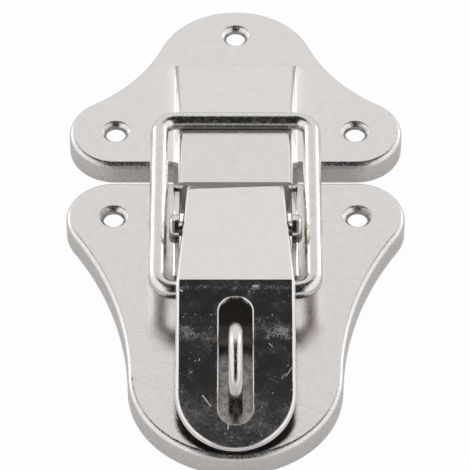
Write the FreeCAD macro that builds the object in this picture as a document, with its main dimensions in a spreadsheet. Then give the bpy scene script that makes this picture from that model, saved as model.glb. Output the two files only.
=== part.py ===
import FreeCAD, Part
import math
import operator
import os

import Sketcher

# A large pressed-steel toggle latch for a box or a case.
# X runs across the latch, +Y from the lever's tip to the far end of the keeper, +Z out of the box.
# The origin is at the middle of the mounting face: both plates stand on Z = 0 on their rims.
# Sizes are in millimetres. Sizes named "_rise" are heights above the top of the plates.

NAMED_SIZES = {
    # Both plates are pans: a flat top with its rim turned down
    "plate_sheet": 0.8,
    "plate_height": 4.6,
    "rim_bend": 1.0,
    "lobe_radius": 8.4,
    "side_screw_spacing": 43.4,
    "seam_gap": 4.0,
    "keeper_length": 39.5,
    "keeper_far_radius": 14.6,
    "keeper_flank_radius": 30.0,
    "base_length": 63.5,
    "base_end_radius": 18.6,
    "base_flank_radius": 62.0,
    "far_screw_inset": 6.6,
    # Screw holes, dimpled for countersunk heads
    "screw_hole_radius": 1.8,
    "dimple_radius": 2.7,
    "dimple_depth": 1.5,
    "dimple_skirt": 0.8,
    # Hook raised from the keeper: a ramp, a groove for the bail's bar and a nose over the base
    "hook_sheet": 0.9,
    "hook_top_half": 10.0,
    "hook_foot_half": 11.2,
    "hook_shoulder": 1.0,
    "nose_rise": 6.0,
    "nose_overhang": 9.7,
    "nose_side_gap": 0.4,
    "nose_side_cut": 4.4,
    "nose_side_slant": 4.0,
    "crest_back": 7.6,
    "ramp_to_screw": 8.6,
    "ramp_step": 1.0,
    "ramp_edge_bend": 0.8,
    "groove_rim_bend": 0.5,
    "groove_back": 4.8,
    "bar_clearance": 0.15,
    # Ears bent up from the base, and the window that they leave
    "ear_sheet": 0.8,
    "ears_width": 21.4,
    "ear_far": 10.9,
    "ear_near": 5.1,
    "window_near": 6.6,
    "ear_slope": 1.2,
    "ear_shoulder_rise": 6.2,
    "ear_crown": 2.5,
    "ear_foot_bend": 0.5,
    # Pivot rivet; a share is a part of the base's length
    "pivot_share": 0.2819,
    "pivot_rise": 7.2,
    "pin_radius": 1.3,
    "pin_clearance": 0.07,
    "head_radius": 2.5,
    "head_height": 0.9,
    "head_dome": 0.8,
    # Lever, folded from one sheet
    "lever_sheet": 1.0,
    "lever_tail": 7.6,
    "lever_lip": 1.9,
    "lever_lip_drop": 0.5,
    "knee_share": 0.2126,
    "lever_tip_inset": 1.0,
    "lever_tail_half": 8.6,
    "lever_knee_half": 10.3,
    "lever_tail_rise": 8.5,
    "lever_knee_rise": 9.1,
    "lever_tip_rise": 1.6,
    "lever_edge_bend": 0.8,
    "flange_tail_rise": 5.0,
    "flange_knee_rise": 3.6,
    "flange_end_inset": 12.2,
    "slot_half": 2.9,
    "slot_end_gap": 4.1,
    "slot_edge_bend": 0.3,
    # Bail, a closed ring of round wire
    "bail_wire": 3.2,
    "bail_side_gap": 0.4,
    "bail_corner": 3.0,
    "bail_rise": 6.4,
    "bail_clearance": 0.09,
    # Staple for a padlock
    "staple_wire": 2.4,
    "staple_bend": 6.5,
    "staple_leg": 3.4,
    "staple_share": 0.27087,
    "staple_head_radius": 1.9,
    "staple_head_height": 0.7,
    "staple_clearance": 0.05,
}

SHEET_NAME = "Sizes"
UP = FreeCAD.Vector(0, 0, 1)


class Size:
    """A length that knows both its value and the formula it comes from."""

    def __init__(self, value, formula):
        self.value = value
        self.formula = formula

    def __add__(self, other):
        return combined(self, "+", other)

    def __sub__(self, other):
        return combined(self, "-", other)

    def __mul__(self, other):
        return combined(self, "*", other)

    def __truediv__(self, other):
        return combined(self, "/", other)

    def __neg__(self):
        return combined(0.0, "-", self)


SIGNS = {"+": operator.add, "-": operator.sub, "*": operator.mul, "/": operator.truediv}


def as_size(number):
    """Turn a plain number into a Size, and leave a Size as it is."""
    if isinstance(number, Size):
        return number
    return Size(float(number), repr(float(number)))


def combined(left, sign, right):
    """Join two sizes with one sign, in value and in formula."""
    left = as_size(left)
    right = as_size(right)
    return Size(SIGNS[sign](left.value, right.value), f"({left.formula} {sign} {right.formula})")


def write_sheet():
    """Put every named size into the document's sheet and return them as Sizes."""
    table = document.addObject("Spreadsheet::Sheet", SHEET_NAME)
    sizes = {}
    for row, (name, value) in enumerate(NAMED_SIZES.items(), start=1):
        table.set(f"A{row}", name)
        table.set(f"B{row}", str(value))
        table.setAlias(f"B{row}", name)
        sizes[name] = Size(value, f"{SHEET_NAME}.{name}")
    document.recompute()
    return sizes


document = FreeCAD.newDocument("box_latch")
S = write_sheet()

# Places along the latch that several pieces share
NOTHING = as_size(0.0)
TOTAL_LENGTH = S["base_length"] + S["seam_gap"] + S["keeper_length"]
BASE_TIP = -(TOTAL_LENGTH / 2)
BASE_SEAM = BASE_TIP + S["base_length"]
KEEPER_SEAM = BASE_SEAM + S["seam_gap"]
KEEPER_FAR = KEEPER_SEAM + S["keeper_length"]
PLATE_TOP = S["plate_height"]
PLATE_UNDER = PLATE_TOP - S["plate_sheet"]
SCREW_SIDE = S["side_screw_spacing"] / 2
KEEPER_SCREWS = KEEPER_SEAM + S["lobe_radius"]
BASE_SCREWS = BASE_SEAM - S["lobe_radius"]
FAR_SCREW = KEEPER_FAR - S["far_screw_inset"]
PIVOT_Y = BASE_SEAM - S["base_length"] * S["pivot_share"]
PIVOT_Z = PLATE_TOP + S["pivot_rise"]
BAIL_Y = PIVOT_Y - S["base_length"] * S["knee_share"]
BAIL_Z = PLATE_TOP + S["bail_rise"]
BAR_Y = KEEPER_SEAM + S["groove_back"]
WIRE_RADIUS = S["bail_wire"] / 2
EAR_OUTER = S["ears_width"] / 2
EAR_INNER = EAR_OUTER - S["ear_sheet"]
HEAD_END = EAR_OUTER + S["head_height"]
BAIL_SIDE = HEAD_END + S["bail_side_gap"] + WIRE_RADIUS
STAPLE_Y = BASE_TIP + S["base_length"] * S["staple_share"]
STAPLE_HALF = S["staple_bend"] + S["staple_wire"] / 2
NOSE_FRONT = KEEPER_SEAM - S["nose_overhang"]
CREST = KEEPER_SEAM + S["crest_back"]
RAMP_ROOT = FAR_SCREW - S["ramp_to_screw"]
LEVER_TAIL = PIVOT_Y + S["lever_tail"]
LEVER_LIP = LEVER_TAIL + S["lever_lip"]
LEVER_TIP = BASE_TIP + S["lever_tip_inset"]
FLANGE_END = LEVER_TIP + S["flange_end_inset"]


class Drawing:
    """A sketch on one of a body's own planes, with its points and radii held by formulas."""

    def __init__(self, body, name, plane, lift=None):
        self.sketch = body.newObject("Sketcher::SketchObject", name)
        for feature in body.Origin.OriginFeatures:
            if feature.Role == plane:
                self.sketch.AttachmentSupport = (feature, [""])
        self.sketch.MapMode = "FlatFace"
        if lift is not None:
            self.sketch.setExpression("AttachmentOffset.Base.z", lift.formula)

    def hold(self, kind, *where_and_size):
        """Add one dimension and tie it to its formula."""
        *where, size = where_and_size
        index = self.sketch.addConstraint(Sketcher.Constraint(kind, *where, size.value))
        self.sketch.setExpression(f"Constraints[{index}]", size.formula)

    def place(self, edge, end, point):
        """Hold one end of an edge, or a centre, at its two coordinates."""
        self.hold("DistanceX", -1, 1, edge, end, as_size(point[0]))
        self.hold("DistanceY", -1, 1, edge, end, as_size(point[1]))

    def circle(self, centre, radius):
        """Draw a circle held by its centre and radius."""
        edge = self.sketch.addGeometry(Part.Circle(vector(centre), UP, radius.value))
        self.place(edge, 3, centre)
        self.hold("Radius", edge, radius)

    def polygon(self, points):
        """Draw a closed polygon with every corner held."""
        edges = []
        for number, point in enumerate(points):
            following = points[(number + 1) % len(points)]
            edges.append(self.sketch.addGeometry(Part.LineSegment(vector(point), vector(following))))
        for number, edge in enumerate(edges):
            after = edges[(number + 1) % len(edges)]
            self.sketch.addConstraint(Sketcher.Constraint("Coincident", edge, 2, after, 1))
            self.place(edge, 1, points[number])

    def box(self, low, high):
        """Draw a rectangle from its low corner to its high one."""
        self.polygon([low, (high[0], low[1]), high, (low[0], high[1])])

    def smooth_ring(self, arcs):
        """Draw a closed ring of arcs that run smoothly into each other or into the lines between them.

        Each arc is (centre, radius, first angle, last angle), in degrees. A centre of None leaves
        the arc to find its own place between its neighbours, near the starting centre given as a
        fifth item. Where two arcs don't meet, a line joins them.
        """
        pieces = []
        for arc in arcs:
            pieces.append(self.arc(*arc))
        ring = []
        for number, piece in enumerate(pieces):
            ring.append(piece)
            after = pieces[(number + 1) % len(pieces)]
            if piece["last"].distanceToPoint(after["first"]) > TOUCHING:
                edge = self.sketch.addGeometry(Part.LineSegment(piece["last"], after["first"]))
                ring.append({"edge": edge, "ends": (1, 2)})
        for number, piece in enumerate(ring):
            after = ring[(number + 1) % len(ring)]
            joint = (piece["edge"], piece["ends"][1], after["edge"], after["ends"][0])
            self.sketch.addConstraint(Sketcher.Constraint("Tangent", *joint))

    def arc(self, centre, radius, first_angle, last_angle, start_centre=None):
        """Draw one arc, counter-clockwise where its last angle is larger."""
        middle = vector(centre) if centre else start_centre
        circle = Part.Circle(middle, UP, radius.value)
        low, high = sorted((math.radians(first_angle), math.radians(last_angle)))
        edge = self.sketch.addGeometry(Part.ArcOfCircle(circle, low, high))
        self.hold("Radius", edge, radius)
        if centre:
            self.place(edge, 3, centre)
        ends = (1, 2) if last_angle > first_angle else (2, 1)
        return {
            "edge": edge,
            "ends": ends,
            "first": middle + turned(radius.value, first_angle),
            "last": middle + turned(radius.value, last_angle),
        }


TOUCHING = 1e-6


def vector(point):
    """A flat point given as two sizes or numbers, as a vector."""
    return FreeCAD.Vector(as_size(point[0]).value, as_size(point[1]).value, 0)


def turned(length, angle):
    """A flat vector of a length, at an angle in degrees."""
    return FreeCAD.Vector(length * math.cos(math.radians(angle)), length * math.sin(math.radians(angle)), 0)


def new_body(name, label=None):
    """Start a body. Only a finished piece has a label of its own."""
    body = document.addObject("PartDesign::Body", name)
    body.Label = label or name
    return body


def pad(body, drawing, length, both_ways=False, reverse=False, kind="Pad"):
    """Extrude a drawing, or cut with it, by a length."""
    feature = body.newObject(f"PartDesign::{kind}", f"{drawing.sketch.Name}_{kind}")
    feature.Profile = drawing.sketch
    feature.setExpression("Length", length.formula)
    if both_ways:
        feature.SideType = "Symmetric"
    feature.Reversed = reverse
    drawing.sketch.Visibility = False
    document.recompute()
    return feature


def combine(body, kind, tools):
    """Fuse, cut or intersect a body with others."""
    feature = body.newObject("PartDesign::Boolean", f"{body.Name}_{kind}")
    feature.Type = kind
    feature.setObjects(tools)
    document.recompute()
    return feature


def middle_of(edge):
    """The point half-way along an edge."""
    return edge.valueAt((edge.FirstParameter + edge.LastParameter) / 2)


def near(number, size):
    """Whether a number equals a size."""
    return abs(number - size.value) < 1e-4


def flat_at(edge, height):
    """Whether an edge lies flat at a height."""
    box = edge.BoundBox
    return near(box.ZMin, height) and near(box.ZMax, height)


def runs_along_y(edge):
    """Whether an edge is straight and runs along the latch."""
    box = edge.BoundBox
    return box.XLength < TOUCHING and box.ZLength < TOUCHING


def is_round(edge):
    """Whether an edge is a circle."""
    return edge.Curve.TypeId == "Part::GeomCircle"


def flank_centre(end_y, end_radius, lobe_y, flank_radius):
    """Where the centre of a plate's right flank starts, from its two neighbours' circles."""
    side = SCREW_SIDE.value
    rise = end_y.value - lobe_y.value
    apart = math.hypot(side, rise)
    to_lobe = S["lobe_radius"].value + flank_radius.value
    to_end = end_radius.value + flank_radius.value
    along = (apart**2 + to_lobe**2 - to_end**2) / (2 * apart)
    across = math.sqrt(to_lobe**2 - along**2)
    toward = FreeCAD.Vector(-side / apart, rise / apart, 0)
    outward = FreeCAD.Vector(abs(toward.y), side / apart * math.copysign(1, rise), 0)
    return FreeCAD.Vector(side, lobe_y.value, 0) + toward * along + outward * across


def angle_to(start, end):
    """The angle in degrees from one point to another."""
    return math.degrees(math.atan2(end.y - start.y, end.x - start.x))


def plate_outline(drawing, end_y, end_radius, lobe_y, flank_radius, inset):
    """Draw a plate's outline: two lobes at the seam, two hollow flanks and a round end."""
    end_radius = end_radius - inset
    lobe_radius = S["lobe_radius"] - inset
    right = flank_centre(end_y, end_radius + inset, lobe_y, flank_radius)
    left = FreeCAD.Vector(-right.x, right.y, 0)
    hollow = flank_radius + inset
    end = FreeCAD.Vector(0, end_y.value, 0)
    lobe = FreeCAD.Vector(SCREW_SIDE.value, lobe_y.value, 0)
    way = math.copysign(1, end_y.value - lobe_y.value)
    end_angle = angle_to(end, right)
    lobe_angle = angle_to(lobe, right)
    hollow_first = angle_to(right, lobe) % 360
    hollow_last = angle_to(right, end) % 360
    mirrored = 180
    drawing.smooth_ring([
        ((SCREW_SIDE, lobe_y), lobe_radius, -90 * way, lobe_angle),
        (None, hollow, hollow_first, hollow_last, right),
        ((0, end_y), end_radius, end_angle, way * mirrored - end_angle),
        (None, hollow, mirrored - hollow_last, mirrored - hollow_first, left),
        ((-SCREW_SIDE, lobe_y), lobe_radius, way * mirrored - lobe_angle, way * 270),
    ])


def pan(body, outline):
    """A pressed plate: a flat sheet with its rim turned down all round."""
    outer = Drawing(body, f"{body.Name}_outline", "XY_Plane")
    plate_outline(outer, *outline, NOTHING)
    pad(body, outer, PLATE_TOP)
    soften(body, "Fillet", "Radius", S["rim_bend"], lambda edge: flat_at(edge, PLATE_TOP))


def pan_hollow(body, outline):
    """The space under a pressed plate."""
    inner = Drawing(body, f"{body.Name}_outline", "XY_Plane")
    plate_outline(inner, *outline, S["plate_sheet"])
    pad(body, inner, PLATE_UNDER)


def add_screw_hole(body, number, centre):
    """A screw hole whose edge is pressed down into a dimple."""
    name = f"{body.Name}_screw_{number}"
    skirt = Drawing(body, f"{name}_skirt", "XY_Plane", PLATE_TOP - S["dimple_depth"])
    skirt.circle(centre, S["screw_hole_radius"] + S["dimple_skirt"])
    pad(body, skirt, S["dimple_depth"] - S["plate_sheet"] / 2)
    hole = Drawing(body, f"{name}_hole", "XY_Plane", PLATE_TOP)
    hole.circle(centre, S["screw_hole_radius"])
    pad(body, hole, S["dimple_depth"] * 2, kind="Pocket")
    mouth = vector(centre) + UP * PLATE_TOP.value

    def is_mouth(edge):
        round_edge = edge.Curve.TypeId == "Part::GeomCircle" and flat_at(edge, PLATE_TOP)
        return round_edge and edge.Curve.Center.distanceToPoint(mouth) < TOUCHING

    soften(body, "Chamfer", "Size", S["dimple_radius"] - S["screw_hole_radius"], is_mouth)


def is_ramp_edge(edge):
    """Whether an edge of the hook's outer form runs down a side of the ramp or across its root."""
    middle = middle_of(edge)
    slanted = edge.BoundBox.YLength > 5.0 and edge.BoundBox.ZLength > 1.0
    across = near(middle.y, RAMP_ROOT) and flat_at(edge, PLATE_TOP + S["ramp_step"])
    return middle.y > CREST.value and middle.z > PLATE_TOP.value and (slanted or across)


def is_groove_rim(edge):
    """Whether an edge of the hook's outer form is a long rim of the groove."""
    middle = middle_of(edge)
    beside = abs(middle.y - BAR_Y.value) < WIRE_RADIUS.value * 2 and middle.z > PLATE_TOP.value
    return beside and edge.BoundBox.XLength > S["hook_top_half"].value


def hook_form(name, skin):
    """The hook's outer form, or with a skin the space inside it: a ramp, a groove and a nose."""
    body = new_body(name)
    top = PLATE_TOP + S["nose_rise"] - skin
    foot = S["hook_foot_half"] - skin
    head = S["hook_top_half"] - skin
    under = PLATE_UNDER - skin
    section = Drawing(body, f"{name}_section", "XZ_Plane", -(NOSE_FRONT - skin))
    section.polygon([
        (-foot, under), (foot, under), (foot, PLATE_TOP),
        (head, top), (-head, top), (-foot, PLATE_TOP),
    ])
    pad(body, section, RAMP_ROOT - NOSE_FRONT + skin, reverse=True)
    if skin is NOTHING:
        soften(body, "Fillet", "Radius", S["hook_shoulder"], lambda edge: runs_along_y(edge) and flat_at(edge, top))

    ramp_fall = S["nose_rise"] - S["ramp_step"]
    above = Drawing(body, f"{name}_above_ramp", "YZ_Plane")
    beyond = RAMP_ROOT * 2 - CREST
    above.polygon([
        (beyond, PLATE_TOP + S["ramp_step"] - skin - ramp_fall),
        (beyond, top + S["nose_rise"]), (CREST, top + S["nose_rise"]), (CREST, top),
    ])
    pad(body, above, S["hook_foot_half"] * 3, both_ways=True, kind="Pocket")
    if skin is NOTHING:
        soften(body, "Fillet", "Radius", S["ramp_edge_bend"], is_ramp_edge)

    groove = Drawing(body, f"{name}_groove", "YZ_Plane")
    groove.circle((BAR_Y, BAIL_Z), WIRE_RADIUS + S["bar_clearance"] + skin)
    pad(body, groove, S["hook_foot_half"] * 3, both_ways=True, kind="Pocket")
    if skin is NOTHING:
        soften(body, "Fillet", "Radius", S["groove_rim_bend"], is_groove_rim)
    return body


def trim_nose_sides(body):
    """Cut the nose's side walls clear of the base, rising towards the front."""
    low = PLATE_TOP + S["nose_side_gap"]
    front = NOSE_FRONT - S["plate_sheet"]
    high = PLATE_TOP + S["nose_side_cut"]
    side = Drawing(body, "nose_side_cut", "YZ_Plane")
    side.polygon([
        (KEEPER_SEAM, NOTHING), (KEEPER_SEAM, low), (NOSE_FRONT + S["nose_side_slant"], low),
        (NOSE_FRONT, high), (front, high), (front, NOTHING),
    ])
    pad(body, side, S["hook_foot_half"] * 3, both_ways=True, kind="Pocket")


def keep_sill(body):
    """Keep the keeper's front rim whole where the hook's inside passes over it."""
    sill = Drawing(body, "hook_sill", "YZ_Plane")
    sill.box((NOSE_FRONT - S["rim_bend"] * 2, NOTHING), (KEEPER_SEAM + S["rim_bend"], PLATE_TOP))
    pad(body, sill, S["hook_foot_half"] * 3, both_ways=True, kind="Pocket")


def make_keeper():
    """The upper plate: three lobes, three screw holes and the hook, all from one sheet."""
    outline = (KEEPER_FAR - S["keeper_far_radius"], S["keeper_far_radius"], KEEPER_SCREWS, S["keeper_flank_radius"])
    keeper = new_body("keeper", "keeper_plate")
    pan(keeper, outline)
    hook = hook_form("hook_outside", NOTHING)
    trim_nose_sides(hook)
    combine(keeper, "Fuse", [hook])
    inside = hook_form("hook_inside", S["hook_sheet"])
    keep_sill(inside)
    under = new_body("keeper_under")
    pan_hollow(under, outline)
    combine(keeper, "Cut", [under, inside])
    for number, centre in enumerate([(SCREW_SIDE, KEEPER_SCREWS), (-SCREW_SIDE, KEEPER_SCREWS), (0, FAR_SCREW)]):
        add_screw_hole(keeper, number, centre)
    return keeper


def add_ear(body, name, inner_face):
    """One ear: a plate standing beside the window, rounded over the pivot."""
    far_foot = PIVOT_Y + S["ear_far"]
    shape = Drawing(body, f"{name}_shape", "YZ_Plane", inner_face)
    shape.polygon([
        (PIVOT_Y - S["ear_near"], PLATE_UNDER), (far_foot, PLATE_UNDER),
        (far_foot - S["ear_slope"], PLATE_TOP + S["ear_shoulder_rise"]), (PIVOT_Y, PIVOT_Z + S["ear_crown"]),
    ])
    pad(body, shape, S["ear_sheet"])
    crown = Drawing(body, f"{name}_crown", "YZ_Plane", inner_face)
    crown.circle((PIVOT_Y, PIVOT_Z), S["ear_crown"])
    pad(body, crown, S["ear_sheet"])


def make_base():
    """The lower plate: a bell outline, two ears bent up beside a window and two screw holes."""
    outline = (BASE_TIP + S["base_end_radius"], S["base_end_radius"], BASE_SCREWS, S["base_flank_radius"])
    base = new_body("base", "base_plate")
    pan(base, outline)
    under = new_body("base_under")
    pan_hollow(under, outline)
    combine(base, "Cut", [under])
    window = Drawing(base, "window", "XY_Plane", PLATE_TOP)
    window.box((-EAR_INNER, PIVOT_Y - S["window_near"]), (EAR_INNER, PIVOT_Y + S["ear_far"]))
    pad(base, window, S["plate_sheet"] * 2, kind="Pocket")
    add_ear(base, "right_ear", EAR_INNER)
    add_ear(base, "left_ear", -EAR_OUTER)

    def is_ear_foot(edge):
        return runs_along_y(edge) and flat_at(edge, PLATE_TOP) and near(abs(edge.BoundBox.XMin), EAR_OUTER)

    soften(base, "Fillet", "Radius", S["ear_foot_bend"], is_ear_foot)
    bore = Drawing(base, "pin_bore", "YZ_Plane")
    bore.circle((PIVOT_Y, PIVOT_Z), S["pin_radius"] + S["pin_clearance"])
    pad(base, bore, S["ears_width"] * 2, both_ways=True, kind="Pocket")
    for side, leg in (("far", S["staple_bend"]), ("near", -S["staple_bend"])):
        hole = Drawing(base, f"staple_hole_{side}", "XY_Plane", PLATE_TOP)
        hole.circle((0, STAPLE_Y + leg), S["staple_wire"] / 2 + S["staple_clearance"])
        pad(base, hole, S["plate_sheet"] * 2, kind="Pocket")
    for number, centre in enumerate([(SCREW_SIDE, BASE_SCREWS), (-SCREW_SIDE, BASE_SCREWS)]):
        add_screw_hole(base, number, centre)
    return base


def make_pin():
    """The rivet that the lever turns on, with a domed head outside each ear."""
    pin = new_body("pin", "pivot_pin")
    pin.setExpression("Placement.Base.y", PIVOT_Y.formula)
    pin.setExpression("Placement.Base.z", PIVOT_Z.formula)
    half = Drawing(pin, "pin_half", "XY_Plane")
    half.polygon([
        (-HEAD_END, 0), (HEAD_END, 0), (HEAD_END, S["head_radius"]), (EAR_OUTER, S["head_radius"]),
        (EAR_OUTER, S["pin_radius"]), (-EAR_OUTER, S["pin_radius"]),
        (-EAR_OUTER, S["head_radius"]), (-HEAD_END, S["head_radius"]),
    ])
    spin(pin, half, 360)

    def is_head_edge(edge):
        return is_round(edge) and near(abs(edge.Curve.Center.x), HEAD_END)

    soften(pin, "Fillet", "Radius", S["head_dome"], is_head_edge)
    return pin


def lever_side(name, skin):
    """The lever seen from the side, as a wide block. With a skin it is the space under the sheet."""
    body = new_body(name)
    side = Drawing(body, f"{name}_side", "YZ_Plane")
    tail_top = PLATE_TOP + S["lever_tail_rise"] - skin
    knee_top = PLATE_TOP + S["lever_knee_rise"] - skin
    lip_top = tail_top - S["lever_lip_drop"]
    slope = (S["lever_knee_rise"] - S["lever_tip_rise"]) / (BAIL_Y - LEVER_TIP)
    past_tip = LEVER_TIP - S["lever_sheet"]
    past_top = knee_top - slope * (BAIL_Y - past_tip)
    if skin is NOTHING:
        flange_end_z = knee_top - S["lever_sheet"] - slope * (BAIL_Y - FLANGE_END)
        side.polygon([
            (LEVER_LIP, lip_top), (LEVER_TAIL, tail_top), (BAIL_Y, knee_top), (past_tip, past_top),
            (past_tip, past_top - S["lever_sheet"]), (FLANGE_END, flange_end_z),
            (BAIL_Y, PLATE_TOP + S["flange_knee_rise"]), (LEVER_TAIL, PLATE_TOP + S["flange_tail_rise"]),
            (LEVER_TAIL, tail_top - S["lever_sheet"]), (LEVER_LIP, lip_top - S["lever_sheet"]),
        ])
    else:
        side.polygon([
            (LEVER_LIP + skin, lip_top), (LEVER_TAIL, tail_top), (BAIL_Y, knee_top), (past_tip, past_top),
            (past_tip, NOTHING), (LEVER_LIP + skin, NOTHING),
        ])
    pad(body, side, S["lever_knee_half"] * 3, both_ways=True)
    return body


def lever_plan(name, skin):
    """The lever seen from above, as a tall block: a taper, a straight stretch and a round end."""
    body = new_body(name)
    tail = S["lever_tail_half"] - skin
    knee = S["lever_knee_half"] - skin
    end_centre = LEVER_TIP + S["lever_knee_half"]
    plan = Drawing(body, f"{name}_plan", "XY_Plane")
    plan.polygon([
        (tail, LEVER_LIP + skin), (-tail, LEVER_LIP + skin), (-knee, BAIL_Y),
        (-knee, end_centre), (knee, end_centre), (knee, BAIL_Y),
    ])
    pad(body, plan, PIVOT_Z * 2)
    round_end = Drawing(body, f"{name}_end", "XY_Plane")
    round_end.circle((0, end_centre), knee)
    pad(body, round_end, PIVOT_Z * 2)
    return body


def make_lever():
    """The lever: one folded sheet with side flanges, a knee over the bail and a slotted handle."""
    lever = lever_side("lever", NOTHING)
    lever.Label = "lever"
    combine(lever, "Common", [lever_plan("lever_outside", NOTHING)])

    def is_on_rim(vertex):
        point = vertex.Point
        on_top = abs(lever_top_at(point.y) - point.z) < 0.1
        return on_top and (abs(point.x) > S["lever_tail_half"].value - 0.1 or point.y < LEVER_TIP.value + 1.0)

    def is_top_side(edge):
        across = edge.BoundBox.XLength > S["lever_tail_half"].value and edge.BoundBox.YLength < 0.1
        return all(is_on_rim(vertex) for vertex in edge.Vertexes) and not across

    soften(lever, "Fillet", "Radius", S["lever_edge_bend"], is_top_side)
    inside = lever_side("lever_inside", S["lever_sheet"])
    combine(inside, "Common", [lever_plan("lever_inside_plan", S["lever_sheet"])])
    combine(lever, "Cut", [inside])
    slot = Drawing(lever, "slot", "XY_Plane", PIVOT_Z * 2)
    half = STAPLE_HALF + S["slot_end_gap"] - S["slot_half"]
    slot.smooth_ring([
        ((0, STAPLE_Y + half), S["slot_half"], 0, 180),
        ((0, STAPLE_Y - half), S["slot_half"], 180, 360),
    ])
    pad(lever, slot, PIVOT_Z * 2, kind="Pocket")

    def is_slot_edge(edge):
        middle = middle_of(edge)
        beside_slot = abs(middle.x) < S["slot_half"].value + 0.1
        on_top = lever_top_at(middle.y) - middle.z < 0.1
        return beside_slot and on_top and LEVER_TIP.value + 1.0 < middle.y < BAIL_Y.value - 1.0

    soften(lever, "Fillet", "Radius", S["slot_edge_bend"], is_slot_edge)
    for name, place, radius in (
        ("pivot_bore", (PIVOT_Y, PIVOT_Z), S["pin_radius"] + S["pin_clearance"]),
        ("bail_bore", (BAIL_Y, BAIL_Z), WIRE_RADIUS + S["bail_clearance"]),
    ):
        bore = Drawing(lever, name, "YZ_Plane")
        bore.circle(place, radius)
        pad(lever, bore, S["lever_knee_half"] * 3, both_ways=True, kind="Pocket")
    return lever


def lever_top_at(y):
    """The height of the lever's top face at a place along it."""
    lip = (LEVER_LIP.value, (PLATE_TOP + S["lever_tail_rise"] - S["lever_lip_drop"]).value)
    tail = (LEVER_TAIL.value, (PLATE_TOP + S["lever_tail_rise"]).value)
    knee = (BAIL_Y.value, (PLATE_TOP + S["lever_knee_rise"]).value)
    tip = (LEVER_TIP.value, (PLATE_TOP + S["lever_tip_rise"]).value)
    start, end = (tail, knee) if y > knee[0] else (knee, tip)
    if y > tail[0]:
        start, end = lip, tail
    return start[1] + (end[1] - start[1]) * (y - start[0]) / (end[0] - start[0])


def make_bail():
    """The bail: a closed ring of round wire, bent to a rectangle with rounded corners."""
    bail = new_body("bail_wire_ring", "bail")
    bail.setExpression("Placement.Base.z", BAIL_Z.formula)
    corner = S["bail_corner"]
    path = Drawing(bail, "bail_path", "XY_Plane")
    path.smooth_ring([
        ((BAIL_SIDE - corner, BAR_Y - corner), corner, 0, 90),
        ((corner - BAIL_SIDE, BAR_Y - corner), corner, 90, 180),
        ((corner - BAIL_SIDE, BAIL_Y + corner), corner, 180, 270),
        ((BAIL_SIDE - corner, BAIL_Y + corner), corner, 270, 360),
    ])
    wire = Drawing(bail, "bail_section", "XZ_Plane")
    wire.circle((BAIL_SIDE, 0), WIRE_RADIUS)
    pipe = bail.newObject("PartDesign::AdditivePipe", "bail_pipe")
    pipe.Profile = wire.sketch
    pipe.Spine = (path.sketch, [f"Edge{number + 1}" for number in range(len(path.sketch.Geometry))])
    document.recompute()
    return bail


def make_staple():
    """The padlock staple: a wire loop through the base, its two ends riveted over inside the plate."""
    staple = new_body("staple_loop", "staple")
    staple.setExpression("Placement.Base.y", STAPLE_Y.formula)
    staple.setExpression("Placement.Base.z", (PLATE_TOP + S["staple_leg"]).formula)
    ring = Drawing(staple, "staple_ring", "XY_Plane")
    ring.circle((0, S["staple_bend"]), S["staple_wire"] / 2)
    spin(staple, ring, 180)
    foot = -(S["staple_leg"] + S["plate_sheet"])
    for side, leg in (("far", S["staple_bend"]), ("near", -S["staple_bend"])):
        shank = Drawing(staple, f"staple_shank_{side}", "XY_Plane", foot)
        shank.circle((0, leg), S["staple_wire"] / 2)
        pad(staple, shank, -foot)
        head = Drawing(staple, f"staple_head_{side}", "XY_Plane", foot)
        head.circle((0, leg), S["staple_head_radius"])
        pad(staple, head, S["staple_head_height"], reverse=True)
    return staple


def spin(body, drawing, angle):
    """Turn a drawing about the body's own X axis."""
    feature = body.newObject("PartDesign::Revolution", f"{drawing.sketch.Name}_turned")
    feature.Profile = drawing.sketch
    for axis in body.Origin.OriginFeatures:
        if axis.Role == "X_Axis":
            feature.ReferenceAxis = (axis, [""])
    feature.Angle = angle
    drawing.sketch.Visibility = False
    document.recompute()
    return feature


def soften(body, kind, property_name, size, chosen):
    """Round or bevel the edges of the body so far that a test chooses."""
    last = body.Tip
    names = []
    for number, edge in enumerate(last.Shape.Edges, start=1):
        if chosen(edge):
            names.append(f"Edge{number}")
    feature = body.newObject(f"PartDesign::{kind}", f"{last.Name}_{kind}")
    feature.Base = (last, names)
    feature.setExpression(property_name, size.formula)
    document.recompute()
    return feature


def write_parts(pieces):
    """Check every object and write each piece to a file named after it."""
    for item in document.Objects:
        if "Invalid" in item.State or "Error" in item.State:
            raise RuntimeError(f"{item.Name} failed: {item.State}")
    os.makedirs("parts", exist_ok=True)
    for piece in pieces:
        if piece.Shape.isNull() or not piece.Shape.isValid():
            raise RuntimeError(f"{piece.Label} has no valid shape")
        piece.Shape.exportStep(os.path.join("parts", f"{piece.Label}.step"))
        box = piece.Shape.BoundBox
        print(piece.Label, len(piece.Shape.Solids), round(piece.Shape.Volume, 2), box)


write_parts([make_keeper(), make_base(), make_pin(), make_lever(), make_bail(), make_staple()])
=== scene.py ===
import math

import bmesh
import bpy
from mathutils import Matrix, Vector


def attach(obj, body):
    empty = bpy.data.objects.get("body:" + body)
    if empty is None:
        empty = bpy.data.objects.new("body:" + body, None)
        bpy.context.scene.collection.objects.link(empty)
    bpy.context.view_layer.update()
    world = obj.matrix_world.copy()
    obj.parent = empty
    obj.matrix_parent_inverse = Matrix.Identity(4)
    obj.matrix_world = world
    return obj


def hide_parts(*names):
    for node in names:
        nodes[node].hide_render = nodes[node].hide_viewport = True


# A nickel-plated toggle latch, lying shut on a pale table under a soft studio light. Blender works in
# metres, so a size in millimetres is written times MM. X runs across the latch, Y along it from the
# lever's tip to the keeper, and Z up from the table.

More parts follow.
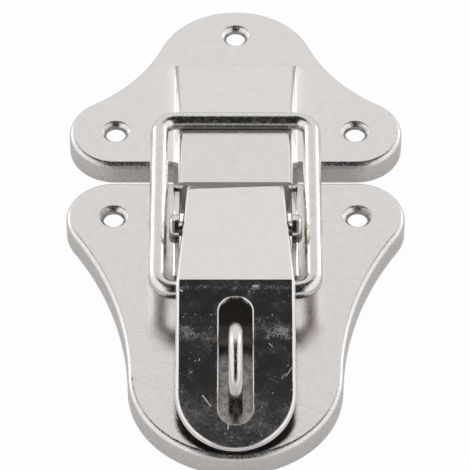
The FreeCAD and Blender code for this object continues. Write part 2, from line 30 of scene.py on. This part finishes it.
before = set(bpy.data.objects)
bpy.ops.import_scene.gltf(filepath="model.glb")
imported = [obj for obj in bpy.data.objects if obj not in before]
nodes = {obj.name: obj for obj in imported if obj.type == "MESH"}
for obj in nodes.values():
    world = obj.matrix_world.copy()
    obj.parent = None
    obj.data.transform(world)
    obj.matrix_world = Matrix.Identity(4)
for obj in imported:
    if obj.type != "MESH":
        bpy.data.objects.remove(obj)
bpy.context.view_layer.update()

MM = 0.001
# The plates' flat tops, the middle and half width of the hook's groove, where the lever's slope starts
# below its knee, and the middle of what shows of the base behind the slot.
PLATE_TOP = 4.6 * MM
GROOVE_Y = 18.8 * MM
GROOVE_HALF = 2.1 * MM
SLOPE_START_Y = -21.3 * MM
SLOT_Y = -38.5 * MM

# Settings of the Math and Map Range nodes.
ADD = {"operation": "ADD"}
ADD_UP_TO_ONE = {"operation": "ADD", "use_clamp": True}
SUBTRACT = {"operation": "SUBTRACT"}
MULTIPLY = {"operation": "MULTIPLY"}
ABSOLUTE = {"operation": "ABSOLUTE"}
LARGER = {"operation": "MAXIMUM"}
WITHIN = {"operation": "COMPARE"}
SOFT_STEP = {"interpolation_type": "SMOOTHSTEP"}


def linear(hex_colour):
    """Turn an sRGB hex colour into the linear colour that a shader takes."""
    values = [int(hex_colour[place:place + 2], 16) / 255 for place in (1, 3, 5)]
    parts = [value / 12.92 if value <= 0.04045 else ((value + 0.055) / 1.055) ** 2.4 for value in values]
    return (*parts, 1.0)


def add(tree, kind, settings=None, **inputs):
    """Add one node. Settings are its properties. An input is named by its socket, with _ for a space,
    or by at_ and its number. It holds a value, the socket that feeds it, or a node, whose first
    output then feeds it."""
    made = tree.nodes.new(kind)
    for name, value in (settings or {}).items():
        setattr(made, name, value)
    for name, value in inputs.items():
        number = name.removeprefix("at_")
        socket = made.inputs[int(number)] if number.isdigit() else made.inputs[name.replace("_", " ")]
        if isinstance(value, bpy.types.Node):
            value = value.outputs[0]
        if isinstance(value, bpy.types.NodeSocket):
            tree.links.new(value, socket)
        else:
            socket.default_value = value
    return made


def nickel(name, bright, dull, cloud, grain, relief, gloss):
    """Nickel plate on steel. Cloud and grain are pattern sizes in mm, gloss the least and most roughness.

    The real grain is finer. It is drawn as coarse as it needs to show."""
    material = bpy.data.materials.new(name)
    material.use_nodes = True
    tree = material.node_tree
    tree.nodes.clear()
    place = add(tree, "ShaderNodeTexCoord").outputs["Object"]

    clouds = add(tree, "ShaderNodeTexNoise", Vector=place, Scale=1 / (cloud * MM), Detail=5.0, Roughness=0.65)
    tone = add(tree, "ShaderNodeMix", {"data_type": "RGBA"}, at_0=clouds,
               at_6=linear(dull), at_7=linear(bright))
    grains = add(tree, "ShaderNodeTexNoise", Vector=place, Scale=1 / (grain * MM), Detail=2.0, Roughness=0.6)
    rough = add(tree, "ShaderNodeMapRange", Value=grains, From_Min=0.3, From_Max=0.7,
                To_Min=gloss[0], To_Max=gloss[1])
    bump = add(tree, "ShaderNodeBump", Height=grains, Strength=relief, Distance=0.1 * MM)

    surface = add(tree, "ShaderNodeBsdfPrincipled", Base_Color=tone.outputs[2], Metallic=1.0,
                  Roughness=rough, Normal=bump)
    add(tree, "ShaderNodeOutputMaterial", Surface=surface)
    return material


# Nickel plate on cold-rolled sheet: a warm grey mirror, blurred a little by the sheet's grain.
plate_nickel = nickel("nickel_plated_pressed_steel", "#E7E3E1", "#D9D5D3", 1.6, 0.25, 0.26, (0.09, 0.18))
# The base's plating is the same, but where the shut lever covers it, it has dust and a painted shade that
# darkens its colour.
base_nickel = plate_nickel.copy()
base_nickel.name = "nickel_plated_pressed_steel_dusty_under_lever"
# The same plate on the folded lever, which hands have polished and scratched.
lever_nickel = nickel("nickel_plated_folded_steel", "#E9E5E4", "#DDD9D7", 1.8, 0.22, 0.10, (0.09, 0.17))
# Inside the folded lever the plating is dull, and its dark colour is painted shade for the faces that look
# down under the lever.
inner_nickel_painted_dark = nickel("dull_nickel_inner_face_painted_shade", "#5A5752", "#45423E", 2.5, 0.30, 0.20, (0.30, 0.45))
# Nickel plate on drawn wire: brighter, with a finer grain left by the drawing die.
wire_nickel = nickel("nickel_plated_drawn_wire", "#E6E3E0", "#D2CECA", 1.2, 0.20, 0.22, (0.06, 0.14))
# Nickel plate on the formed heads of the rivet, dulled by the setting tool.
rivet_nickel = nickel("nickel_plated_rivet_steel", "#DAD6D0", "#C2BEB7", 0.9, 0.25, 0.20, (0.14, 0.24))


def patches(tree, place, size, least=0.0):
    """Uneven patches of a given size in mm: 1 inside them, and the given least between them."""
    noise = add(tree, "ShaderNodeTexNoise", Vector=place, Scale=1 / (size * MM), Detail=4.0, Roughness=0.7)
    return add(tree, "ShaderNodeMapRange", Value=noise, From_Min=0.44, From_Max=0.60, To_Min=least)


def rubbed_bands(tree, place, bands):
    """Bands across the lever that were rubbed, given as (place along it, half width, share), in mm."""
    along = add(tree, "ShaderNodeSeparateXYZ", Vector=place).outputs["Y"]
    total = 0.0
    for centre, half, share in bands:
        beyond = add(tree, "ShaderNodeMath", SUBTRACT, at_0=along, at_1=centre * MM)
        away = add(tree, "ShaderNodeMath", ABSOLUTE, at_0=beyond)
        band = add(tree, "ShaderNodeMapRange", SOFT_STEP, Value=away, From_Min=half * MM, From_Max=0.0,
                   To_Max=share)
        total = add(tree, "ShaderNodeMath", ADD, at_0=total, at_1=band)
    return total


def scratches(tree, place, lines):
    """Straight scratches given as (x, y, turn in degrees, length, width), with sizes in mm."""
    total = 0.0
    for x, y, turn, length, width in lines:
        beside = add(tree, "ShaderNodeMapping", {"vector_type": "TEXTURE"}, Vector=place,
                     Location=(x * MM, y * MM, 0.0), Rotation=(0.0, 0.0, math.radians(turn)))
        apart = add(tree, "ShaderNodeSeparateXYZ", Vector=beside)
        long = add(tree, "ShaderNodeMath", WITHIN, at_0=apart.outputs["X"], at_1=0.0, at_2=length * MM / 2)
        thin = add(tree, "ShaderNodeMath", WITHIN, at_0=apart.outputs["Y"], at_1=0.0, at_2=width * MM / 2)
        line = add(tree, "ShaderNodeMath", MULTIPLY, at_0=long, at_1=thin)
        total = add(tree, "ShaderNodeMath", LARGER, at_0=total, at_1=line)
    return total


def blur(material, marks):
    """Add marks to a material's roughness, which lets light into its dark reflections."""
    tree = material.node_tree
    rough = tree.nodes["Principled BSDF"].inputs["Roughness"]
    more = add(tree, "ShaderNodeMath", ADD_UP_TO_ONE, at_0=rough.links[0].from_socket, at_1=marks)
    tree.links.new(more.outputs["Value"], rough)


def wear_the_lever():
    """Dust, a film, rubbed bands and scratches on the lever's slope, from the knee to the tip."""
    tree = lever_nickel.node_tree
    place = add(tree, "ShaderNodeTexCoord").outputs["Object"]

    cells = add(tree, "ShaderNodeTexVoronoi", Vector=place, Scale=1 / (1.2 * MM))
    speck = add(tree, "ShaderNodeMapRange", Value=cells, From_Min=0.13, From_Max=0.05)
    dust = add(tree, "ShaderNodeMath", MULTIPLY, at_0=speck, at_1=patches(tree, place, 3.0))

    smears = add(tree, "ShaderNodeMath", MULTIPLY, at_0=patches(tree, place, 3.2, 0.35),
                 at_1=patches(tree, place, 0.6, 0.45))
    film = add(tree, "ShaderNodeMath", MULTIPLY, at_0=smears, at_1=0.14)

    # A broad band beside the staple and a narrow one at the knee, both broken up by fine marks.
    bands = rubbed_bands(tree, place, [(-31.3, 2.4, 0.48), (-22.9, 0.7, 0.30)])
    blotches = add(tree, "ShaderNodeMath", MULTIPLY, at_0=patches(tree, place, 2.6, 0.15),
                   at_1=patches(tree, place, 0.22, 0.1))
    rubbed = add(tree, "ShaderNodeMath", MULTIPLY, at_0=bands, at_1=blotches)

    # The lower end, which fingers lift.
    fingered = add(tree, "ShaderNodeMath", MULTIPLY, at_0=rubbed_bands(tree, place, [(-48.0, 10.5, 0.10)]),
                   at_1=patches(tree, place, 0.5, 0.55))

    lines = scratches(tree, place, [
        (-4.9, -44.0, -55.0, 2.6, 0.22),
        (-9.5, -23.4, -28.0, 0.9, 0.28),
        (9.1, -38.6, 60.0, 2.0, 0.12),
        (8.2, -39.4, 52.0, 1.2, 0.10),
        (6.0, -33.7, -50.0, 1.0, 0.16),
        (5.6, -32.2, -62.0, 0.8, 0.12),
        (-1.25, -48.3, 90.0, 1.8, 0.24),
        (-6.2, -36.4, 80.0, 0.6, 0.14),
        (-7.6, -38.7, 20.0, 0.5, 0.14),
        (3.4, -22.6, 8.0, 1.1, 0.30),
    ])
    scratched = add(tree, "ShaderNodeMath", MULTIPLY, at_0=lines, at_1=0.6)

    marks = 0.0
    for mark in (dust, film, rubbed, fingered, scratched):
        marks = add(tree, "ShaderNodeMath", ADD, at_0=marks, at_1=mark)
    along = add(tree, "ShaderNodeSeparateXYZ", Vector=place).outputs["Y"]
    slope = add(tree, "ShaderNodeMapRange", Value=along, From_Min=SLOPE_START_Y + 0.3 * MM,
                From_Max=SLOPE_START_Y - 0.3 * MM)
    blur(lever_nickel, add(tree, "ShaderNodeMath", MULTIPLY, at_0=marks, at_1=slope))


def specks(material, fine, coarse, share):
    """Dust in fine specks, gathered in coarse patches. Each is given as its size in mm and its least.

    Real dust is finer. It is drawn as coarse as it needs to show."""
    tree = material.node_tree
    place = add(tree, "ShaderNodeTexCoord").outputs["Object"]
    dust = add(tree, "ShaderNodeMath", MULTIPLY, at_0=patches(tree, place, *fine),
               at_1=patches(tree, place, *coarse))
    return add(tree, "ShaderNodeMath", MULTIPLY, at_0=dust, at_1=share)


def dust_the_rims(material):
    """Dust and handling marks on a plate's turned-down rim, just below its flat top."""
    tree = material.node_tree
    place = add(tree, "ShaderNodeTexCoord").outputs["Object"]
    height = add(tree, "ShaderNodeSeparateXYZ", Vector=place).outputs["Z"]
    below = add(tree, "ShaderNodeMapRange", Value=height, From_Min=PLATE_TOP - 0.01 * MM,
                From_Max=PLATE_TOP - 0.08 * MM)
    dust = specks(material, (0.26, 0.18), (2.0, 0.7), 0.44)
    blur(material, add(tree, "ShaderNodeMath", MULTIPLY, at_0=below, at_1=dust))


def rub_the_groove():
    """The hook's groove, which the bail's bar rubs dull."""
    tree = plate_nickel.node_tree
    place = add(tree, "ShaderNodeTexCoord").outputs["Object"]
    apart = add(tree, "ShaderNodeSeparateXYZ", Vector=place)
    beyond = add(tree, "ShaderNodeMath", SUBTRACT, at_0=apart.outputs["Y"], at_1=GROOVE_Y)
    away = add(tree, "ShaderNodeMath", ABSOLUTE, at_0=beyond)
    near = add(tree, "ShaderNodeMapRange", SOFT_STEP, Value=away, From_Min=GROOVE_HALF + 0.25 * MM,
               From_Max=GROOVE_HALF)
    raised = add(tree, "ShaderNodeMath", {"operation": "GREATER_THAN"}, at_0=apart.outputs["Z"],
                 at_1=PLATE_TOP + 1.0 * MM)
    groove = add(tree, "ShaderNodeMath", MULTIPLY, at_0=near, at_1=raised)
    blur(plate_nickel, add(tree, "ShaderNodeMath", MULTIPLY, at_0=groove, at_1=0.42))


def shade_and_dust_the_base():
    """The oval of the base plate behind the lever's slot: its colour is darkened as painted shade from the
    lever, and dust blurs it.
    """
    tree = base_nickel.node_tree
    place = add(tree, "ShaderNodeTexCoord").outputs["Object"]
    oval = add(tree, "ShaderNodeMapping", {"vector_type": "TEXTURE"}, Vector=place,
               Location=(0.0, SLOT_Y, 0.0), Scale=(3.6 * MM, 9.0 * MM, 1.0))
    away = add(tree, "ShaderNodeVectorMath", {"operation": "LENGTH"}, at_0=oval).outputs["Value"]
    near = add(tree, "ShaderNodeMapRange", SOFT_STEP, Value=away, From_Min=1.5, From_Max=0.7)
    painted_shade_and_dust = add(tree, "ShaderNodeMath", MULTIPLY, at_0=near, at_1=patches(tree, place, 1.5, 0.75))

    # Painted shade: inside the oval the colour darkens towards #8C8782, standing in for the shade under the
    # lever. The blur below is its dust.
    colour = tree.nodes["Principled BSDF"].inputs["Base Color"]
    tone = add(tree, "ShaderNodeMix", {"data_type": "RGBA"}, at_0=painted_shade_and_dust,
               at_6=colour.links[0].from_socket, at_7=linear("#8C8782"))
    tree.links.new(tone.outputs[2], colour)
    blur(base_nickel, add(tree, "ShaderNodeMath", MULTIPLY, at_0=painted_shade_and_dust, at_1=0.15))


def dust_the_wire():
    """Specks of dust on the wire, which show on its dark side."""
    blur(wire_nickel, specks(wire_nickel, (0.20, 0.15), (1.4, 0.4), 0.30))


wear_the_lever()
dust_the_rims(plate_nickel)
rub_the_groove()
dust_the_wire()
shade_and_dust_the_base()
dust_the_rims(base_nickel)


# The layer in which the Weighted Normal modifier looks for strong faces, and its number for one.
FACE_STRENGTH = "__mod_weightednormals_faceweight"
STRONG = 16384
# Faces are on one plane where the cosine of the angle between them is above this, and a plane of this
# area is large.
SAME_PLANE = 0.99998
LARGE_FLAT = 8.0 * MM * MM


def favour_flats(shape):
    """Let large flat faces rule the normals at their edges, so that no small neighbour tilts them."""
    strength = shape.faces.layers.int.new(FACE_STRENGTH)
    for first in shape.faces:
        if first.tag:
            continue
        first.tag = True
        flat = [first]
        for face in flat:
            for edge in face.edges:
                for other in edge.link_faces:
                    if not other.tag and other.normal.dot(first.normal) > SAME_PLANE:
                        other.tag = True
                        flat.append(other)
        if sum(face.calc_area() for face in flat) > LARGE_FLAT:
            for face in flat:
                face[strength] = STRONG


def dress(node_name, body, material, fold_angle, inside=None):
    """A smooth copy of a CAD node, with its flat faces kept flat and its folds, in degrees, kept crisp.

    Faces that look down take the inside material, where one is given: a darker one that paints shade on them."""
    mesh = nodes[node_name].data.copy()
    mesh.materials.clear()
    mesh.materials.append(material)
    if inside:
        mesh.materials.append(inside)
    shape = bmesh.new()
    shape.from_mesh(mesh)
    bmesh.ops.remove_doubles(shape, verts=shape.verts, dist=0.002 * MM)
    shape.normal_update()
    favour_flats(shape)
    for face in shape.faces:
        face.material_index = 1 if inside and face.normal.z < -0.5 else 0
    shape.to_mesh(mesh)
    shape.free()
    mesh.shade_smooth()
    mesh.set_sharp_from_angle(angle=math.radians(fold_angle))
    piece = bpy.data.objects.new(f"{node_name}_finished", mesh)
    bpy.context.scene.collection.objects.link(piece)
    even = piece.modifiers.new("flat_faces_stay_flat", "WEIGHTED_NORMAL")
    even.keep_sharp = True
    even.use_face_influence = True
    even.weight = 60
    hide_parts(node_name)
    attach(piece, body)
    return piece


dress("keeper_plate", "base", plate_nickel, 34)
dress("base_plate", "base", base_nickel, 34)
dress("pivot_pin", "base", rivet_nickel, 40)
dress("staple", "base", wire_nickel, 40)
dress("lever", "lever", lever_nickel, 34, inner_nickel_painted_dark)
dress("bail", "bail", wire_nickel, 40)


def paper():
    """Matt white paper, which the camera sees almost plain white and metal mirrors a little brighter."""
    material = bpy.data.materials.new("white_paper_sweep")
    material.use_nodes = True
    tree = material.node_tree
    tree.nodes.clear()
    ray = add(tree, "ShaderNodeLightPath")
    seen = add(tree, "ShaderNodeMath", MULTIPLY, at_0=ray.outputs["Is Camera Ray"], at_1=0.97)
    mirrored = add(tree, "ShaderNodeMath", {"operation": "MULTIPLY_ADD"}, at_0=ray.outputs["Is Glossy Ray"],
                   at_1=0.2, at_2=seen)
    matt = add(tree, "ShaderNodeBsdfDiffuse", Color=linear("#F2F2F1"))
    glow = add(tree, "ShaderNodeEmission", Color=linear("#FFFFFF"), Strength=1.0)
    mixed = add(tree, "ShaderNodeMixShader", Fac=mirrored, at_1=matt, at_2=glow)
    add(tree, "ShaderNodeOutputMaterial", Surface=mixed)
    return material


def table_top():
    """The pale table, a sheet of paper six metres square."""
    mesh = bpy.data.meshes.new("table_top")
    shape = bmesh.new()
    bmesh.ops.create_grid(shape, x_segments=1, y_segments=1, size=3.0)
    shape.to_mesh(mesh)
    shape.free()
    mesh.materials.append(paper())
    floor = bpy.data.objects.new("table_top", mesh)
    bpy.context.scene.collection.objects.link(floor)


def surround():
    """A white studio with a dark ceiling and bright walls, brightest on the left and the right."""
    world = bpy.data.worlds.new("studio_surround")
    bpy.context.scene.world = world
    world.use_nodes = True
    tree = world.node_tree
    tree.nodes.clear()
    way = add(tree, "ShaderNodeTexCoord").outputs["Generated"]
    apart = add(tree, "ShaderNodeSeparateXYZ", Vector=way)

    # The rise is 0 at the back wall's foot, 90 degrees straight up, and 180 at the front wall's foot.
    rise = add(tree, "ShaderNodeMath", {"operation": "ARCTAN2"}, at_0=apart.outputs["Z"],
               at_1=apart.outputs["Y"])
    back = add(tree, "ShaderNodeMapRange", SOFT_STEP, Value=rise,
               From_Min=math.radians(62.0), From_Max=math.radians(54.0))
    front = add(tree, "ShaderNodeMapRange", SOFT_STEP, Value=rise,
                From_Min=math.radians(162.0), From_Max=math.radians(174.0))
    walls = add(tree, "ShaderNodeMath", LARGER, at_0=back, at_1=front)
    walls = add(tree, "ShaderNodeMapRange", Value=walls, To_Min=0.022, To_Max=0.93)

    across = add(tree, "ShaderNodeMath", ABSOLUTE, at_0=apart.outputs["X"])
    sides = add(tree, "ShaderNodeMapRange", SOFT_STEP, Value=across, From_Min=0.38, From_Max=0.56,
                To_Max=1.15)
    light = add(tree, "ShaderNodeMath", LARGER, at_0=walls, at_1=sides)

    # The camera sees plain white past the table's edge.
    ray = add(tree, "ShaderNodeLightPath")
    strength = add(tree, "ShaderNodeMath", LARGER, at_0=light, at_1=ray.outputs["Is Camera Ray"])
    sky = add(tree, "ShaderNodeBackground", Color=linear("#FFFFFF"), Strength=strength)
    add(tree, "ShaderNodeOutputWorld", Surface=sky)


def soft_box(name, place, size, power):
    """One oblong soft box, turned to face the latch."""
    lamp = bpy.data.lights.new(name, "AREA")
    lamp.shape = "RECTANGLE"
    lamp.size, lamp.size_y = size
    lamp.energy = power
    holder = bpy.data.objects.new(name, lamp)
    holder.location = place
    holder.rotation_euler = (-Vector(place)).to_track_quat("-Z", "Y").to_euler()
    bpy.context.scene.collection.objects.link(holder)


PHOTO_WIDTH = 470
PIXELS_PER_MM = 5.65
CAMERA_RISE = math.radians(48.0)
CAMERA_DISTANCE = 0.70
FILM_WIDTH = 36.0


def photo_camera():
    """The camera of the photograph: straight on, from far back, looking down at the latch's middle."""
    lens = bpy.data.cameras.new("photo_camera")
    camera = bpy.data.objects.new("photo_camera", lens)
    bpy.context.scene.collection.objects.link(camera)
    aim = Vector((-0.1 * MM, -2.9 * MM, PLATE_TOP))
    back = Vector((0.0, -math.cos(CAMERA_RISE), math.sin(CAMERA_RISE)))
    camera.location = aim + CAMERA_DISTANCE * back
    camera.rotation_euler = (-back).to_track_quat("-Z", "Y").to_euler()
    lens.sensor_width = FILM_WIDTH
    lens.lens = FILM_WIDTH * CAMERA_DISTANCE / (PHOTO_WIDTH / PIXELS_PER_MM * MM)
    lens.clip_start = 0.01
    lens.clip_end = 20.0
    bpy.context.scene.camera = camera


table_top()
surround()
soft_box("soft_box_left", (-0.66, 0.56, 0.24), (0.13, 0.36), 0.45)
soft_box("soft_box_right", (0.66, 0.56, 0.24), (0.13, 0.36), 0.45)
photo_camera()
bpy.context.scene.view_settings.view_transform = "Standard"
